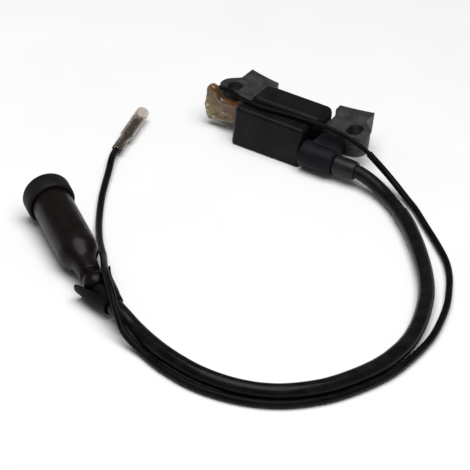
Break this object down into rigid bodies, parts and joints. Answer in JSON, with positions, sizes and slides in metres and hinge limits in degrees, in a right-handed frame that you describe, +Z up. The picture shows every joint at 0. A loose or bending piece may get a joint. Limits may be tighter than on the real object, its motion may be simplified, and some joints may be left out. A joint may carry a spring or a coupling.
{
  "type": "ignition coil",
  "caption": "Flywheel ignition coil on a slotted laminated core, with a sleeved spark lead ending in a plug cap and a stop lead ending in a covered bullet connector.",
  "frame": {"origin": "middle of the coil module's underside, leads and what is on them not counted", "axes": "+X from the stop terminal's end to the spark lead's end, along the line of the two bolt holes; +Y towards the flywheel; +Z up, the bolts' heads' side"},
  "size_m": [0.2121, 0.2443, 0.0248],
  "materials": {
    "core": "matt black-oxide plate edges, slightly worn",
    "black_moulding": "satin moulded phenolic",
    "black_gloss": "gloss moulding",
    "black_rubber": "matt rubber",
    "black_vinyl": "satin vinyl",
    "amber_vinyl": "soft, see-through amber vinyl",
    "clear_vinyl": "soft, clear vinyl",
    "brass": "plain",
    "tinned_steel": "tinned",
    "copper": "enamelled copper wire",
    "nylon": "natural nylon",
    "potting": "poured epoxy",
    "board": "solder mask",
    "component": "moulded",
    "ceramic": "fired ceramic"
  },
  "bodies": {
    "coil": {"core_laminations": "core", "coil_housing": "black_moulding", "igniter_housing": "black_moulding", "ht_tower": "black_moulding", "cap_body": "black_gloss", "cap_neck_bead": "black_gloss", "ht_collar": "black_rubber", "cap_boot": "black_rubber", "cap_seal": "black_rubber", "ht_lead": "black_vinyl", "ht_lead_end": "black_vinyl", "ht_lead_sleeve": "black_vinyl", "kill_wire": "black_vinyl", "kill_wire_sleeve": "black_vinyl", "terminal_cover": "amber_vinyl", "kill_tab": "brass", "kill_flag_terminal": "brass", "ht_spike": "brass", "plug_clip": "brass", "cap_screw": "brass", "bullet_terminal": "tinned_steel", "cap_spring": "tinned_steel", "primary_winding": "copper", "secondary_winding_1": "copper", "secondary_winding_2": "copper", "secondary_winding_3": "copper", "secondary_winding_4": "copper", "primary_bobbin": "nylon", "secondary_bobbin": "nylon", "coil_potting": "potting", "igniter_potting": "potting", "igniter_board": "board", "power_transistor": "component", "board_resistor_1": "component", "board_resistor_2": "component", "board_capacitor": "ceramic", "cap_resistor": "ceramic"},
    "bullet_cover": {"bullet_cover": "clear_vinyl"}
  },
  "joints": [
    {"name": "bullet_cover_slide", "type": "slide", "parent": "coil", "child": "bullet_cover", "axis": [0.188, -0.9822, 0], "range_m": [0, 0.006]}
  ]
}
